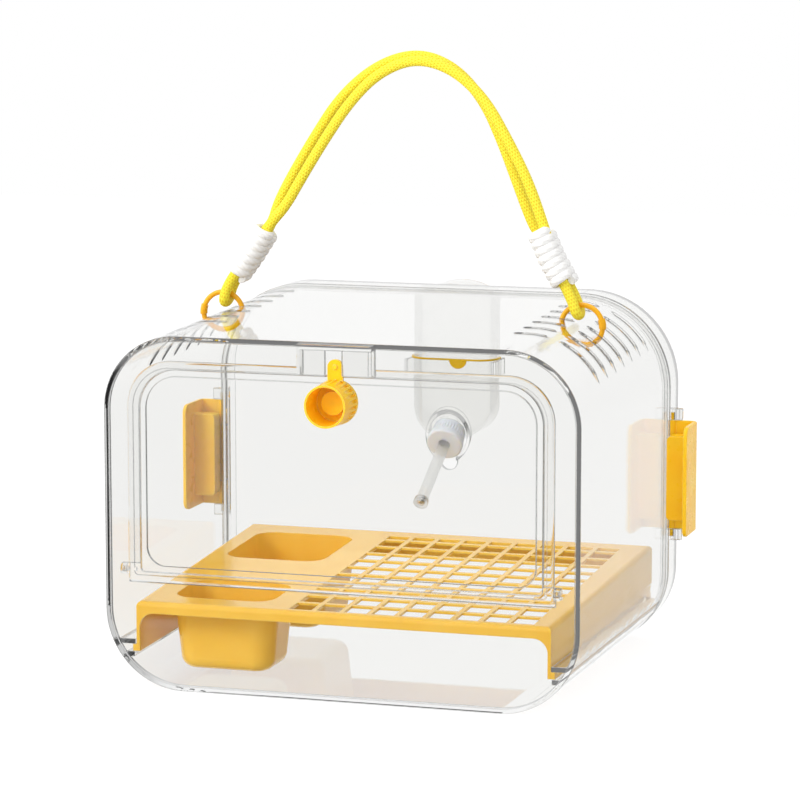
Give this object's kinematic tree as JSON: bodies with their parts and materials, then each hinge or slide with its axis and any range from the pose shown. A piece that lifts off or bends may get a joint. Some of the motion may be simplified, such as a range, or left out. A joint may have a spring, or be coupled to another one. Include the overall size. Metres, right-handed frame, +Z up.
{
  "type": "bird travel carrier",
  "caption": "Clear moulded carrier for a small bird, with a drop-down door, detachable rear cover, feeding tray, hanging water bottle and a rope handle on rings.",
  "frame": {"origin": "on the floor, midway across the width and midway between the knob's rim in front and the bottle at the back", "axes": "+X to the right seen from the front door, +Y from the door to the rear cover, +Z up"},
  "size_m": [0.3444, 0.2976, 0.3858],
  "materials": {
    "clear_plastic": "clear, polished",
    "amber_plastic": "translucent amber, satin",
    "tray_plastic": "amber, satin",
    "bottle_plastic": "clear, polished",
    "tube_plastic": "clear, polished",
    "cap_plastic": "light grey, ribbed",
    "seal_rubber": "soft, translucent white",
    "steel": "plain",
    "ring_paint": "glossy amber coating",
    "cord_braid": "tight braid",
    "wrap_cord": "soft wound cord"
  },
  "bodies": {
    "shell": {"body_shell": "clear_plastic"},
    "door": {"front_door": "clear_plastic"},
    "knob": {"latch_knob": "amber_plastic", "knob_washer": "steel", "knob_screw": "steel"},
    "cover": {"rear_cover": "clear_plastic"},
    "latch_l": {"latch_left": "amber_plastic"},
    "latch_r": {"latch_right": "amber_plastic"},
    "tray": {"feeding_tray": "tray_plastic"},
    "bottle": {"bottle_body": "bottle_plastic", "bottle_collar": "amber_plastic"},
    "cap": {"bottle_cap": "cap_plastic", "cap_seal": "seal_rubber", "drinking_tube": "tube_plastic", "tube_ball": "steel"},
    "ring_l": {"ring_left": "ring_paint", "sleeve_left": "ring_paint"},
    "ring_r": {"ring_right": "ring_paint", "sleeve_right": "ring_paint"},
    "handle": {"handle_cord": "cord_braid", "wrap_left": "wrap_cord", "wrap_right": "wrap_cord"}
  },
  "joints": [
    {"name": "door_hinge", "type": "hinge", "parent": "shell", "child": "door", "pos_m": [0, -0.1249, 0.075], "axis": [1, 0, 0], "range_deg": [0, 100]},
    {"name": "knob_turn", "type": "hinge", "parent": "door", "child": "knob", "pos_m": [0, -0.1344, 0.1843], "axis": [0, 1, 0], "range_deg": [-40, 40]},
    {"name": "cover_slide", "type": "slide", "parent": "shell", "child": "cover", "axis": [0, 1, 0], "range_m": [0, 0.24]},
    {"name": "tray_slide", "type": "slide", "parent": "shell", "child": "tray", "axis": [0, 1, 0], "range_m": [0, 0.204]},
    {"name": "latch_left_hinge", "type": "hinge", "parent": "cover", "child": "latch_l", "pos_m": [-0.15555, 0.09755, 0.112], "axis": [0, 0, -1], "range_deg": [0, 90]},
    {"name": "latch_right_hinge", "type": "hinge", "parent": "cover", "child": "latch_r", "pos_m": [0.15555, 0.09755, 0.112], "axis": [0, 0, 1], "range_deg": [0, 90]},
    {"name": "bottle_lift", "type": "slide", "parent": "cover", "child": "bottle", "axis": [0, 0.8746, 0.4848], "range_m": [0, 0.09]},
    {"name": "cap_turn", "type": "hinge", "parent": "bottle", "child": "cap", "pos_m": [0, 0.11715, 0.131], "axis": [0, 0.8746, 0.4848], "range_deg": [0, 360]},
    {"name": "ring_left_turn", "type": "hinge", "parent": "shell", "child": "ring_l", "pos_m": [-0.1182, 0.00245, 0.2186], "axis": [0, 1, 0], "range_deg": [-10, 35]},
    {"name": "ring_right_turn", "type": "hinge", "parent": "shell", "child": "ring_r", "pos_m": [0.1182, 0.00245, 0.2186], "axis": [0, -1, 0], "range_deg": [-10, 35]},
    {"name": "handle_swing", "type": "hinge", "parent": "shell", "child": "handle", "pos_m": [0, 0.00245, 0.2315], "axis": [1, 0, 0], "range_deg": [-70, 70]}
  ],
  "couplings": [
    {"joint": "tray_slide", "follows": "cover_slide", "ratio": 0.85}
  ]
}
